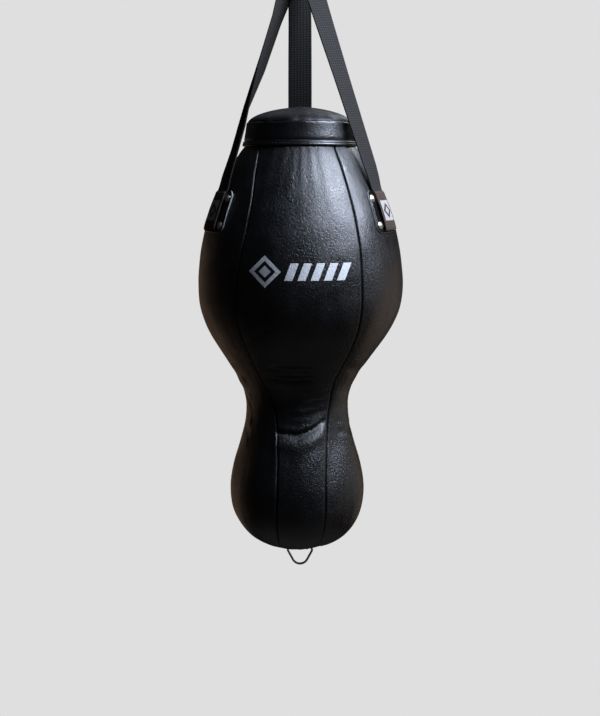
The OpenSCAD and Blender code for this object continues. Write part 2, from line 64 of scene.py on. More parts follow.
def add_node(tree, kind, links=None, **settings):
    """Add one node. settings are its attributes or input values; links are socket: (node, output)."""
    node = tree.nodes.new("ShaderNode" + kind)
    for key, value in settings.items():
        if hasattr(node, key):
            setattr(node, key, value)
            continue
        socket = int(key[2:]) if key[:2] == "in" and key[2:].isdigit() else key.replace("_", " ")
        node.inputs[socket].default_value = hex_colour(value) if isinstance(value, str) else value
    for socket, (source, output) in (links or {}).items():
        tree.links.new(source.outputs[output], node.inputs[socket])
    return node


# A wave texture of scale 1 repeats every pi / 10 metres, so this over a spacing is its scale.
WAVE_REPEAT = math.pi / 10


def new_material(name):
    """An empty material, and add_node bound to it."""
    material = bpy.data.materials.new(name)
    material.use_nodes = True
    material.node_tree.nodes.clear()
    return material, functools.partial(add_node, material.node_tree)


def shade(material, tone, gloss=None, bump=None, **settings):
    """Close a material with its one shader: tone gives its colour, gloss its roughness."""
    links = {"Base Color": (tone, 2)}
    if gloss:
        links["Roughness"] = (gloss, "Result")
    if bump:
        links["Normal"] = (bump, "Normal")
    shader = add_node(material.node_tree, "BsdfPrincipled", links, **settings)
    add_node(material.node_tree, "OutputMaterial", {"Surface": (shader, "BSDF")})
    return material


def new_object(name, data):
    thing = bpy.data.objects.new(name, data)
    bpy.context.scene.collection.objects.link(thing)
    return thing


print("linear grey of #808080", round(hex_colour("#808080")[0], 4))

# %% [markdown]
# ## The profile of the bag
# A stuffed bag is close to a body of revolution. These few lengths are the same as the CAD
# part's, so the leather built here lies on the same outline. Everything else, such as the
# seams, folds and lumps, is a small move along the surface's own direction.

# %% Heights and radii of the bag, in millimetres
# The ring's bar, the strap head's lower end and the lid's crown come first, then the bag's own.
BAR_Z = -156.52
HEAD = BAR_Z - 60
CROWN = HEAD - 325
LID_RISE = 32
COLLAR_TOP = CROWN - LID_RISE
COLLAR_LOW = COLLAR_TOP - 47
BODY = COLLAR_LOW - 278
NECK = BODY - 255
BALL = NECK - 184
BASE = BALL - 128
SHOULDER_R, BODY_R, NECK_R, BALL_R = 113.0, 212.0, 107.0, 143.0
THROAT_R, BASE_R = 101.5, 62.0


def smooth(t):
    return (1 - np.cos(np.pi * np.clip(t, 0, 1))) / 2


def bag_radius(z):
    z = np.asarray(z, float)
    down = np.clip((COLLAR_LOW - z) / (COLLAR_LOW - BODY), 0, 1)
    under = np.clip((BALL - z) / (BALL - BASE), 0, 1)
    return np.select(
        [z > COLLAR_LOW, z > BODY, z > NECK, z > BALL],
        [
            SHOULDER_R - (SHOULDER_R - THROAT_R) * (z - COLLAR_LOW) / (COLLAR_TOP - COLLAR_LOW),
            SHOULDER_R + (BODY_R - SHOULDER_R) * np.sin(np.pi / 2 * down) ** 0.85,
            BODY_R + (NECK_R - BODY_R) * smooth(np.clip((BODY - z) / (BODY - NECK), 0, 1) ** 1.2),
            NECK_R + (BALL_R - NECK_R) * smooth((NECK - z) / (NECK - BALL)),
        ],
        BALL_R * np.maximum(0, 1 - under ** 2.2) ** (1 / 2.2),
    )


print("widest", bag_radius(BODY), "neck", bag_radius(NECK), "ball", bag_radius(BALL))

# %% [markdown]
# ## Rows down the bag
# The rows of the mesh are spaced evenly along the outline, not by height. That keeps the
# faces square where the ball closes underneath.

# %% Evenly spaced rows
def outline_rows(top, end_radius, spacing):
    fall = np.linspace(top, BALL, 3000)
    turn = np.linspace(0, np.pi / 2, 1500)
    under_r = BALL_R * np.cos(turn) ** (2 / 2.2)
    under_z = BALL - (BALL - BASE) * np.sin(turn) ** (2 / 2.2)
    r = np.concatenate([bag_radius(fall), under_r[1:]])
    z = np.concatenate([fall, under_z[1:]])
    s = np.concatenate([[0], np.cumsum(np.hypot(np.diff(r), np.diff(z)))])
    last = s[-1] if end_radius <= 0 else s[len(fall) + np.argmax(under_r[1:] < end_radius)]
    steps = np.linspace(0, last, int(round(last / spacing)) + 1)
    return np.interp(steps, s, r), np.interp(steps, s, z), steps


def outward(r, z):
    """Unit direction out of the outline at each row, as (radial, upward)."""
    dr, dz = np.gradient(r), np.gradient(z)
    size = np.hypot(dr, dz)
    return -dz / size, dr / size


def curve(points, at):
    """A smooth curve through (place, value) points."""
    x, y = np.array(sorted(points), float).T
    m = np.gradient(y, x)
    i = np.clip(np.searchsorted(x, at) - 1, 0, len(x) - 2)
    h = x[i + 1] - x[i]
    t = np.clip((at - x[i]) / h, 0, 1)
    return ((2 * t ** 3 - 3 * t ** 2 + 1) * y[i] + (t ** 3 - 2 * t ** 2 + t) * h * m[i]
            + (3 * t ** 2 - 2 * t ** 3) * y[i + 1] + (t ** 3 - t ** 2) * h * m[i + 1])


print("rows down the bag at 5 mm", len(outline_rows(COLLAR_LOW, BASE_R, 5.0)[0]))

# %% [markdown]
# ## Seams and panels
# Six leather panels make the skin: one in front, one behind and two at each side. The seams
# beside the front panel wander by a few millimetres, because a stuffed bag twists a little.

# %% Where the seams run
LEFT_SEAM = [(-560, 76), (-627, 82), (-683, 90), (-731, 95), (-779, 104), (-841, 118),
             (-909, 126), (-977, 120), (-1050, 90), (-1110, 60), (-1147, 47), (-1182, 42),
             (-1231, 39), (-1300, 41), (-1373, 43), (-1432, 40), (-1460, 39)]
RIGHT_SEAM = [(-560, 60), (-625, 69), (-654, 79), (-693, 91), (-736, 103), (-784, 112),
              (-870, 121), (-960, 118), (-1027, 101), (-1087, 77), (-1148, 66), (-1232, 61),
              (-1330, 59), (-1385, 57), (-1438, 52), (-1460, 50)]


def seam_angle(points, z, r):
    return np.degrees(np.arcsin(np.clip(curve(points, z) / np.maximum(r, 1), -0.97, 0.97)))


def seam_angles(z, r):
    """Angles round from the front of the six seams, at each row, in order."""
    left, right = seam_angle(LEFT_SEAM, z, r), seam_angle(RIGHT_SEAM, z, r)
    return [-left, right, 90 + 0 * z, 180 - right, 180 + left, 270 + 0 * z, 360 - left]


PANELS = ["front_panel", "right_front_panel", "right_back_panel", "back_panel", "left_back_panel",
          "left_front_panel"]

print("panels", len(PANELS), "seam points", len(LEFT_SEAM), len(RIGHT_SEAM))

# %% [markdown]
# ## Folds, puckers and lumps
# Leather can't stretch round a narrow neck, so it folds there. Each fold is a valley with a
# roll above it and a lit lip below it. Stuffing also leaves broad shallow lumps, and a seam
# pulls small puckers. All of these are heights in millimetres added to the plain surface.
# A cloth simulation would put the folds in places of its own, so they are shaped one by one.

# %% Shapes of the folds
def bell(x, width):
    return np.exp(-(x / width) ** 2)


def fold(angle, z, path, depth, width, roll, lip, reach):
    """A fold along a path. reach is its first and last angle and how softly it ends."""
    first, last, fade = reach
    inside = smooth((angle - first) / fade + 0.5) * smooth((last - angle) / fade + 0.5)
    v = z - curve(path, angle)
    valley = -depth * bell(v, width)
    above = roll * bell(v - 2.1 * width, 1.5 * width)
    below = lip * bell(v + 2.0 * width, 1.6 * width)
    return inside * (valley + above + below)


def lumps(angle, z):
    a, rng = np.radians(angle), np.random.default_rng(7)
    total = 0 * angle
    for size, height in ((170, 1.0), (95, 0.6), (55, 0.3), (30, 0.12)):
        for _ in range(5):
            around, down = rng.integers(1, 2 + int(1300 / size)), rng.normal(0, 0.8 * np.pi / size)
            total = total + height / 2.2 * np.sin(around * a + down * z + rng.uniform(0, 6.28))
    return total


print("lumps at the front of the body mm", round(float(lumps(np.array(0.0), np.array(BODY))), 2))

# %% Every fold of the bag
# Each fold is its path as (angle, height), its depth, width, roll and lip, and its reach.
FRONT_FOLDS = [
    ([(-24, -1193), (-10, -1197), (2, -1198), (15, -1190), (31, -1172)], 5.5, 3.6, 1.6, 0.0, (-22, 31, 7)),
    ([(-24, -1216), (-10, -1220), (2, -1221), (15, -1212), (31, -1194)], -3.8, 14, 0.0, 0.0, (-22, 31, 10)),
    ([(-24, -1240), (2, -1245), (31, -1226)], -3.4, 38, 0.0, 0.0, (-24, 31, 12)),
    ([(-15, -1163), (10, -1160), (30, -1150)], 1.9, 4.5, 1.3, 0.0, (-2, 30, 14)),
    ([(-20, -1142), (10, -1144), (33, -1134)], 1.8, 4.5, 1.3, 0.0, (6, 33, 12)),
    ([(-20, -1122), (10, -1123), (33, -1118)], 1.6, 4.5, 1.2, 0.0, (6, 32, 12)),
    ([(-32, -1076), (0, -1084), (32, -1078)], 3.8, 7, 1.2, 0.0, (-24, 15, 14)),
    ([(-32, -1056), (0, -1062), (32, -1058)], 3.0, 6, 1.0, 0.0, (-22, 12, 14)),
    ([(-34, -1016), (-28, -1000), (-18, -972)], 1.2, 5, 0.0, 0.6, (-33, -17, 8)),
]
SIDE_SPANS = [(36, 88), (92, 150), (156, 204), (210, 268), (272, 322)]
SIDE_ROWS = [(-1194, 1.9), (-1166, 1.0), (-1140, 1.4), (-1112, 0.9), (-1080, 1.0), (-1052, 0.7)]


def side_folds():
    """The same kind of folds on the other panels, a little different on each."""
    rng, found = np.random.default_rng(11), []
    for first, last in SIDE_SPANS:
        for height, depth in SIDE_ROWS:
            height = height + rng.uniform(-9, 9)
            tilt, start, end = rng.uniform(-9, 9), first + rng.uniform(2, 20), last - rng.uniform(2, 20)
            middle = ((start + end) / 2, height - rng.uniform(2, 6))
            path = [(start, height - tilt), middle, (end, height + tilt)]
            found.append((path, depth * rng.uniform(0.6, 1.2), rng.uniform(6, 10), 0.5 * depth, 0.6 * depth,
                          (start, end, 14)))
    return found


FOLDS = FRONT_FOLDS + side_folds()


def height_of(angle, z, s, seam_distance):
    """Height above the plain outline, in millimetres, at an angle round from the front."""
    turn = (angle + 60) % 360 - 60
    total = lumps(angle, z) * smooth((COLLAR_LOW - z) / 60)
    for f in FOLDS:
        total = total + fold(turn, z, *f)
    puff = 2.2 * (1 - np.exp(-seam_distance / 22)) - 1.6
    pucker = 0.3 * bell(seam_distance, 9) * np.sin(2 * np.pi * s / 11 + 2 * np.sin(s / 37))
    groove = -2.4 * bell(seam_distance, 1.6) + 0.35 * bell(seam_distance - 4.5, 2.5)
    a = np.radians(angle)
    away = smooth((seam_distance - 4) / 20)
    gathers = 0.28 * smooth((z + 760) / 120) * np.sin(34 * a + 3 * np.sin(5 * a)) * away
    return total + (puff + pucker + groove + gathers) * smooth((z - BASE - 12) / 30)


def sideways(z):
    """The ball hangs a little to the left of the body."""
    return -6.0 * smooth((-960 - z) / 150)


print("folds", len(FOLDS))

# %% [markdown]
# ## From rows and columns to a mesh
# Almost every soft piece is a grid of points bent into shape. One function turns such a grid
# into a mesh with UV coordinates in metres, so a weave can follow the piece.

# %% Grid meshes
def make_object(name, points, faces, body="bag", materials=(), face_slots=None, uv=None):
    mesh = bpy.data.meshes.new(name)
    vertices = [tuple(float(v) * MM for v in p) for p in points]
    mesh.from_pydata(vertices, [], [tuple(int(i) for i in f) for f in faces])
    mesh.update()
    piece = new_object(name, mesh)
    for material in materials:
        mesh.materials.append(material)
    for polygon in mesh.polygons:
        polygon.use_smooth = True
        if face_slots is not None:
            polygon.material_index = int(face_slots[polygon.index])
    if uv is not None:
        layer = mesh.uv_layers.new(name="flat")
        for loop in mesh.loops:
            layer.data[loop.index].uv = [float(v) * MM for v in uv[loop.vertex_index]]
    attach(piece, body)
    return piece


def grid_faces(rows, columns, around=False, start=0):
    faces = []
    for i in range(rows - 1):
        for k in range(columns - (0 if around else 1)):
            a, b = start + i * columns + k, start + i * columns + (k + 1) % columns
            faces.append((a, a + columns, b + columns, b))
    return faces


def fan(tip, first, count, up=True):
    """Triangles from one point to each side of a ring of points."""
    sides = [(first + k, first + (k + 1) % count) for k in range(count)]
    return [(tip, a, b) if up else (tip, b, a) for a, b in sides]


def tube_faces(rows, columns):
    """The sides and both ends of a tube of points."""
    last = rows * columns - 1
    ends = [tuple(range(columns)), tuple(range(last, last - columns, -1))]
    return grid_faces(rows, columns, around=True) + ends


def circle(count):
    return np.linspace(0, 2 * np.pi, count, endpoint=False)


def around_bag(r, turn, z):
    """Points at radius r and height z, turn radians round from the front."""
    return np.stack([r * np.sin(turn), -r * np.cos(turn), z + 0 * turn], -1)


def sharpen(piece, degrees):
    """Split the smooth shading where faces meet at more than this angle."""
    mesh = bmesh.new()
    mesh.from_mesh(piece.data)
    for edge in mesh.edges:
        edge.smooth = not (len(edge.link_faces) == 2 and edge.calc_face_angle(0) > math.radians(degrees))
    mesh.to_mesh(piece.data)
    mesh.free()
    return piece


def report(*pieces):
    for piece in pieces:
        print(piece.name, "has", len(piece.data.vertices), "points")


print("faces in a grid of 3 by 4 points", len(grid_faces(3, 4)))

# %% [markdown]
# ## Leather
# The skin is full-grain hide, dyed through and finished with a glossy black topcoat. The eye
# sees a dark, slightly blue surface whose soft highlights break up into grain. The grain is
# about 1.5 mm across with creases 4 to 5 mm apart. From this far the pebbles would vanish, so
# they are drawn 2.3 mm across and the creases carry most of the bump. The topcoat is glossier
# where hands and gloves have rubbed it, in patches about 40 mm across.

# %% Leather finish
CREASE, PEBBLE = 0.0046, 0.0023


def leather(name, colour="#050609", warm="#090807", rough=(0.25, 0.46), grain=1.0, shine=0.5, ink=None):
    material, add = new_material(name)
    at = {"Vector": (add("TexCoord"), "Object")}
    cloudy = add("TexNoise", at, Scale=1 / 0.11, Detail=3.0)
    tone = add("Mix", {"Factor": (cloudy, "Fac")}, data_type="RGBA", in6=colour, in7=warm)
    crease = add("TexNoise", at, Scale=1 / CREASE, Detail=5.0, Roughness=0.66, Distortion=0.8)
    pebble = add("TexVoronoi", at, feature="SMOOTH_F1", Scale=1 / PEBBLE, Smoothness=0.55)
    mix = add("Math", {0: (pebble, "Distance"), 2: (crease, "Fac")}, operation="MULTIPLY_ADD", in1=-0.30)
    handled = add("TexNoise", at, Scale=1 / 0.042, Detail=3.0, Roughness=0.55)
    worn_gloss = add("Math", {0: (handled, "Fac"), 2: (crease, "Fac")}, operation="MULTIPLY_ADD", in1=1.6)
    gloss = add("MapRange", {"Value": (worn_gloss, "Value")}, From_Min=0.85, From_Max=1.75,
                To_Min=rough[0], To_Max=rough[1])
    bump = add("Bump", {"Height": (mix, "Value")}, Strength=0.8 * grain, Distance=0.0014)
    if ink:
        worn = add("MapRange", {"Value": (crease, "Fac")}, From_Min=0.34, From_Max=0.42,
                   To_Min=0.72, To_Max=1.0)
        mask = add("Math", {0: draw_mark(add, at, ink), 1: (worn, "Result")}, operation="MULTIPLY")
        tone = add("Mix", {"Factor": (mask, "Value"), 6: (tone, 2)}, data_type="RGBA", in7="#bcbdbf")
        gloss = add("Mix", {"Factor": (mask, "Value"), 2: (gloss, "Result")}, data_type="FLOAT", in3=0.55)
    return shade(material, tone, gloss, bump, IOR=1.5, Specular_IOR_Level=shine,
                 Coat_Weight=0.24 * shine, Coat_Roughness=0.25, Coat_IOR=1.5)


print("creases and pebbles mm", CREASE / MM, PEBBLE / MM)

# %% [markdown]
# ## The printed mark
# A maker prints a pale mark on the chest of the bag with screen ink. This one is a plain
# diamond with a smaller diamond cut out of it, and a row of five slanted bars. It is drawn
# from the distance to simple lines, so it has no lettering and no image.

# %% Ink mask for the front panel
MARK_HEIGHT = -0.860
MARK_STEPS = f"""
right ADD X 0.0675
across ABSOLUTE right
above SUBTRACT Z {MARK_HEIGHT}
up ABSOLUTE above
reach ADD across up
outer LESS_THAN reach 0.031
hole GREATER_THAN reach 0.0205
diamond MULTIPLY outer hole
middle LESS_THAN reach 0.0115
slant MULTIPLY above 0.38
leaning SUBTRACT X slant
start ADD leaning 0.024
past_first GREATER_THAN start 0.0
before_last LESS_THAN start 0.117
tall LESS_THAN up 0.0165
run MAXIMUM start 0.0
step MODULO run 0.0253
bar LESS_THAN step 0.0155
row MULTIPLY past_first before_last
block MULTIPLY row tall
bars MULTIPLY block bar
diamonds MAXIMUM diamond middle
both MAXIMUM diamonds bars
front LESS_THAN Y 0.0
ink MULTIPLY both front
"""


def draw_mark(add, at, steps):
    """1 where the ink lies, 0 elsewhere. Each step is a new name, what it does, and to what, in metres."""
    where = add("SeparateXYZ", at)
    made = {axis: (where, axis) for axis in "XYZ"}
    for name, operation, *values in map(str.split, steps.strip().splitlines()):
        links = {i: made[v] for i, v in enumerate(values) if v in made}
        numbers = {f"in{i}": float(v) for i, v in enumerate(values) if v not in made}
        made[name] = (add("Math", links, operation=operation, **numbers), "Value")
    return made["ink"]


print("steps to draw the mark", MARK_STEPS.count("\n") - 1)

# %% The leathers
panel_leather = leather("glossy_black_hide")
front_leather = leather("glossy_black_hide_printed", ink=MARK_STEPS)
dull_leather = leather("lid_hide", colour="#08090b", warm="#100d0b", rough=(0.38, 0.52), grain=0.8,
                       shine=0.2)
band_leather = leather("collar_hide", colour="#06070a", rough=(0.25, 0.38), grain=0.5)
patch_leather = leather("patch_hide", colour="#050506", warm="#080706", rough=(0.18, 0.30), grain=0.25)

print("leathers", [m.name for m in (panel_leather, front_leather, dull_leather, band_leather, patch_leather)])

# %% [markdown]
# ## The leather panels
# Each panel is its own piece with edges turned in at the seams, as when two hides are sewn
# face to face and folded back. The columns crowd together beside the seams, where the groove
# and the puckers need them.

# %% Build the six panels
ROW_R, ROW_Z, ROW_S = outline_rows(COLLAR_LOW + 26, BASE_R, 5.0)
OUT_R, OUT_Z = outward(ROW_R, ROW_Z)
NEAR = np.array([0.0, 0.6, 1.3, 2.2, 3.4, 5.2, 8.2, 12.5])


def on_surface(angle, r, z, n_r, n_z, height):
    a = np.radians(angle)
    rad = r + height * n_r
    return np.stack([rad * np.sin(a) + sideways(z), -rad * np.cos(a), z + height * n_z], -1)


def build_panel(index, columns=34):
    angles = seam_angles(ROW_Z, ROW_R)
    first, last = angles[index], angles[index + 1]
    width = np.radians(last - first) * ROW_R
    d = np.empty((len(ROW_Z), 2 * len(NEAR) + columns))
    for i, w in enumerate(width):
        near = NEAR * min(1, w / 45)
        middle = np.linspace(near[-1], w - near[-1], columns + 2)[1:-1]
        d[i] = np.concatenate([near, middle, (w - near)[::-1]])
    angle = first[:, None] + np.degrees(d / ROW_R[:, None])
    seam = np.minimum(d, width[:, None] - d)
    z, s = ROW_Z[:, None] + 0 * d, ROW_S[:, None] + 0 * d
    h = height_of(angle, z, s, seam)
    skin = on_surface(angle, ROW_R[:, None], z, OUT_R[:, None], OUT_Z[:, None], h)
    turned = [on_surface(angle[:, k], ROW_R, ROW_Z, OUT_R, OUT_Z, h[:, k] - 7) for k in (0, -1)]
    grid = np.concatenate([turned[0][:, None], skin, turned[1][:, None]], 1)
    faces = grid_faces(*grid.shape[:2])
    name = PANELS[index]
    piece = make_object(name + "_hide", grid.reshape(-1, 3), faces,
                        materials=[front_leather if index == 0 else panel_leather])
    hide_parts(name)
    return piece


panels = [build_panel(i) for i in range(6)]
report(*panels)

# %% [markdown]
# ## The padding and the round base
# Under the hide the real bag has foam, a canvas sack and packed textile. None of it shows, so
# one soft core stands for all of it. A round of leather closes the panels underneath.

# %% Foam finish
def foam_finish(name):
    """Closed-cell foam, cut from sheet: matt, with small cells about 1 mm across."""
    material, add = new_material(name)
    at = {"Vector": (add("TexCoord"), "Object")}
    cells = add("TexVoronoi", at, Scale=1 / 0.0012)
    tone = add("Mix", {"Factor": (cells, "Distance")}, data_type="RGBA", in6="#6d7278", in7="#4c5055")
    bump = add("Bump", {"Height": (cells, "Distance")}, Strength=0.4, Distance=0.0004)
    return shade(material, tone, bump=bump, Roughness=0.9, IOR=1.45)


foam = foam_finish("closed_cell_foam")
print("foam nodes", len(foam.node_tree.nodes))

# %% Padded core and base round
CORE_INSET = 15.0


def build_core():
    r, z, s = outline_rows(COLLAR_LOW + 20, 0, 14.0)
    n_r, n_z = outward(r, z)
    angle = np.arange(0, 360, 5.0)[None, :] + 0 * r[:, None]
    h = 0 * angle - CORE_INSET
    grid = on_surface(angle, r[:, None], z[:, None] + 0 * angle, n_r[:, None], n_z[:, None], h)
    rows, columns = grid.shape[:2]
    faces = grid_faces(rows - 1, columns, around=True)
    points = list(grid[:-1].reshape(-1, 3)) + [grid[0].mean(0), grid[-1].mean(0) + np.array([0, 0, 14])]
    faces += fan(len(points) - 2, 0, columns)
    faces += fan(len(points) - 1, (rows - 2) * columns, columns, up=False)
    piece = make_object("padding_core", points, faces, materials=[foam])
    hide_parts("foam_padding", "inner_sack", "textile_filling", "left_backing", "right_backing",
                "back_backing", "rivet_washers")
    return piece


def build_base():
    """The base round: a shallow dish of leather with its edge turned in."""
    columns = 96
    turn = circle(columns)
    radii = np.concatenate([[66, 63.5, 62, 60, 57], np.linspace(52, 4, 12)])
    lift = np.concatenate([[7, 3.6, 1.6, 0.3, 0], np.zeros(12)])
    rows = []
    for radius, up in zip(radii, lift):
        z = BALL - (BALL - BASE) * (1 - (radius / BALL_R) ** 2.2) ** (1 / 2.2)
        wave = 0.3 * np.sin(5 * turn) + 0.2 * np.sin(9 * turn + 1)
        height = z - 0.4 + up + wave * (radius / BASE_R)
        rows.append(np.stack([radius * np.sin(turn) + sideways(z), -radius * np.cos(turn), height], -1))
    grid = np.array(rows)
    points = list(grid.reshape(-1, 3)) + [grid[-1].mean(0)]
    faces = [f[::-1] for f in grid_faces(len(radii), columns, around=True)]
    faces += fan(len(points) - 1, (len(radii) - 1) * columns, columns)
    piece = make_object("round_base_hide", points, faces, materials=[panel_leather])
    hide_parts("round_base")
    return piece


core, base_round = build_core(), build_base()
report(core, base_round)

# %% [markdown]
# ## Lid and collar
# The lid is a padded disc gathered into the collar, so soft pleats run in from its rim. The
# collar is a band of hide sewn round the throat. Its lower edge has a hem with two rows of
# thread, and its top edge stands free and catches the light.

# %% Lid with gathers
def build_lid():
    columns = 180
    t = np.linspace(0, 1, 30)[1:]
    turn = circle(columns)
    rng = np.random.default_rng(3)
    gathers = ((9, 2.4), (14, 1.9), (23, 1.2))
    pleats = sum(a * np.abs(np.sin(n * turn / 2 + rng.uniform(0, 6.28))) ** 3 for n, a in gathers)
    rows = []
    for v in t:
        a = v * np.pi / 2
        r, z = 105.0 * math.sin(a) ** (2 / 1.8), COLLAR_TOP + LID_RISE * math.cos(a) ** (2 / 1.8)
        dip = -(pleats - 1.6) * v ** 4
        soft = 0.8 * np.sin(2 * turn + 1) * (1 - v) + 0.5 * np.sin(3 * turn + 2.2) * v
        height = z + soft + dip * 0.6 * (1 - v ** 8)
        rows.append(around_bag(r + dip, turn, height))
    for drop, r in ((6, 104.5), (16, 103)):
        rows.append(around_bag(r, turn, COLLAR_TOP - drop))
    grid = np.array(rows)
    points = list(grid.reshape(-1, 3)) + [np.array([0, 0, COLLAR_TOP + LID_RISE + 0.2])]
    faces = grid_faces(len(rows), columns, around=True)
    faces += fan(len(points) - 1, 0, columns)
    piece = make_object("lid_hide", points, faces, materials=[dull_leather])
    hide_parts("lid_dome", "lid_foam")
    return piece


lid = build_lid()
report(lid)

# %% Collar band and its hem
def build_band(node, outer, inner, wave):
    """A closed outline of (height, distance out) swept round the throat, waving a little as sewn bands do."""
    columns = 240
    turn = circle(columns)
    wander = np.sin(3 * turn + 0.6) + 0.6 * np.sin(7 * turn + 2) + 0.35 * np.sin(19 * turn)
    rows = []
    for up, out in outer[::-1] + inner[::-1]:
        z = COLLAR_LOW + up
        w = wave * wander * (1 if z > COLLAR_LOW + 30 else 0.35)
        rows.append(around_bag(collar_at(z) + out + 0.6 * w, turn, z + w))
    faces = grid_faces(len(rows), columns, around=True)
    last = (len(rows) - 1) * columns
    faces += [(last + k, k, (k + 1) % columns, last + (k + 1) % columns) for k in range(columns)]
    points = np.array(rows).reshape(-1, 3)
    piece = make_object(node + "_hide", points, faces, materials=[band_leather])
    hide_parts(node)
    return piece


def collar_at(z):
    low, top = SHOULDER_R + 0.3, 105.2
    return low + (top - low) * (z - COLLAR_LOW) / (COLLAR_TOP - COLLAR_LOW)


BAND_OUT = [(0, 2.4), (1.2, 2.9), (3, 3.0), (9, 2.9), (9.8, 2.2), (10.4, 1.7), (11.0, 1.7), (11.8, 2.4),
            (13, 2.9), (18, 3.1), (24, 3.0), (30, 2.9), (36, 2.9), (41, 3.0), (44.5, 3.2), (46.2, 3.0),
            (47.2, 2.2), (47.5, 1.2), (47.0, 0.3)]
BAND_IN = [(44, 0.1), (30, 0.1), (15, 0.1), (2, 0.2), (0.2, 0.9)]
HEM_OUT = [(0.2, 2.8), (0.0, 3.6), (0.6, 4.3), (1.8, 4.7), (3.4, 4.8), (4.8, 4.5), (5.4, 3.9), (5.8, 3.9),
           (6.4, 4.4), (7.6, 4.5), (8.8, 4.2), (9.5, 3.6), (9.7, 3.0)]
HEM_IN = [(7, 2.7), (3, 2.7)]
collar = build_band("collar_band", BAND_OUT, BAND_IN, 0.7)
hem = build_band("collar_hem", HEM_OUT, HEM_IN, 0.25)
report(collar, hem)

# %% [markdown]
# ## Thread
# Bonded nylon thread holds the hem. Each stitch is a small rounded capsule that sinks into
# the leather at both ends.

# %% Stitches along a line
def thread_finish(name, colour):
    """Twisted nylon thread: satin. Its ply lines, about 0.4 mm apart, are drawn at 1.2 mm."""
    material, add = new_material(name)
    at = {"Vector": (add("TexCoord"), "Object")}
    ply = add("TexWave", at, bands_direction="DIAGONAL", Scale=WAVE_REPEAT / 0.0012, Distortion=1.0)
    tone = add("Mix", {"Factor": (ply, "Fac")}, data_type="RGBA", in6=colour, in7="#0b0b0c")
    return shade(material, tone, Roughness=0.5, Sheen_Weight=0.3)


def stitches(name, centres, along, out, length, radius, material):
    """centres, along and out are rows of points and directions; each stitch is a bent capsule."""
    points, faces = [], []
    sides = 6
    stations = [(-0.5, -1.0, 0.55), (-0.32, 0.15, 1.0), (0, 0.45, 1.0), (0.32, 0.15, 1.0), (0.5, -1.0, 0.55)]
    for centre, a, o in zip(centres, along, out):
        side = np.cross(a, o)
        base = len(points)
        for place, lift, size in stations:
            for k in range(sides):
                w = 2 * np.pi * k / sides
                up, across = (lift + size * math.cos(w)) * radius, size * math.sin(w) * radius
                points.append(centre + a * place * length + o * up + side * across)
        faces += [(f[0], f[3], f[2], f[1]) for f in grid_faces(len(stations), sides, around=True, start=base)]
    return make_object(name, points, faces, materials=[material])


thread = thread_finish("black_nylon_thread", "#1d1e20")


HEM_PITCH, HEAD_PITCH = 4.6, 4.2


def hem_stitches(up, out_by, name):
    z = COLLAR_LOW + up
    radius = collar_at(z) + out_by
    count = int(2 * math.pi * radius / HEM_PITCH)
    turn = circle(count)
    wander = 0.0875 * (np.sin(3 * turn + 0.6) + 0.6 * np.sin(7 * turn + 2))
    centres, out = around_bag(radius, turn, z + wander), around_bag(1, turn, 0)
    along = np.stack([np.cos(turn), np.sin(turn), 0 * turn], -1)
    return stitches(name, centres, along, out, 3.4, 0.45, thread)


hem_thread = [hem_stitches(5.6, 4.0, "hem_thread"), hem_stitches(10.7, 1.9, "collar_thread")]
report(*hem_thread)

# %% [markdown]
# ## Anchor patches
# Three thick leather patches spread the pull of the straps. Each is cut with round corners
# and lies on the curve of the bag. Its cut edge is dry fibre, painted pale grey beside the
# glossy face; part of that paleness is a painted highlight for the light the edge catches.
# The patch is built from rings of points that shrink towards its middle.

# %% Lying on the bag
ANCHOR_Z = COLLAR_LOW - 130
STATION = np.concatenate([[COLLAR_TOP, COLLAR_LOW], COLLAR_LOW - (COLLAR_LOW - BODY) * np.arange(1, 10) / 9])
ANCHORS = {"left": -65.0, "right": 65.0, "back": 180.0}


def drawn_radius(z):
    """The CAD part draws the outline with straight lines between stations; what lies on it follows them."""
    return np.interp(-np.asarray(z, float), -STATION, bag_radius(STATION))


def lean_at(z):
    return math.atan((float(bag_radius(z - 1)) - float(bag_radius(z + 1))) / 2)


def lie_on_bag(turn, u, v, height):
    """Point u mm round and v mm up the bag from an anchor's middle, at a height above the surface."""
    lean = lean_at(ANCHOR_Z)
    z = ANCHOR_Z + v * math.cos(lean)
    r = drawn_radius(z)
    a = math.radians(turn) + u / (drawn_radius(ANCHOR_Z))
    lift_r, lift_z = height * math.cos(lean), height * math.sin(lean)
    return around_bag(r + lift_r, a, z + lift_z)


def rounded_outline(width, height, corner, per_corner=10):
    points = []
    for cx, cy, start in ((1, 1, 0), (-1, 1, 90), (-1, -1, 180), (1, -1, 270)):
        for k in range(per_corner + 1):
            a = math.radians(start + 90 * k / per_corner)
            x, y = cx * (width / 2 - corner), cy * (height / 2 - corner)
            points.append((x + corner * math.cos(a), y + corner * math.sin(a)))
    dense = []
    for i, p in enumerate(points):
        q = points[(i + 1) % len(points)]
        n = max(1, int(math.hypot(q[0] - p[0], q[1] - p[1]) / 6))
        dense += [(p[0] + (q[0] - p[0]) * j / n, p[1] + (q[1] - p[1]) * j / n) for j in range(n)]
    return np.array(dense)


def cut_edge_painted_highlight_finish():
    """The cut edge of thick hide: dry, pale grey fibre, made paler as a painted highlight for the light the
    edge catches. Fibres of 0.5 mm are drawn at 1.5 mm.
    """
    material, add = new_material("cut_hide_edge_painted_highlight")
    at = {"Vector": (add("TexCoord"), "Object")}
    fibre = add("TexNoise", at, Scale=1 / 0.0015, Detail=4.0)
    # The pale grey is partly the fibre's own colour and partly a painted highlight.
    tone = add("Mix", {"Factor": (fibre, "Fac")}, data_type="RGBA", in6="#55555a", in7="#97979d")
    bump = add("Bump", {"Height": (fibre, "Fac")}, Strength=0.5, Distance=0.0005)
    return shade(material, tone, bump=bump, Roughness=0.62)


cut_edge_with_painted_highlight = cut_edge_painted_highlight_finish()
print("the bag leans in at the patches by", round(math.degrees(lean_at(ANCHOR_Z)), 1), "degrees")

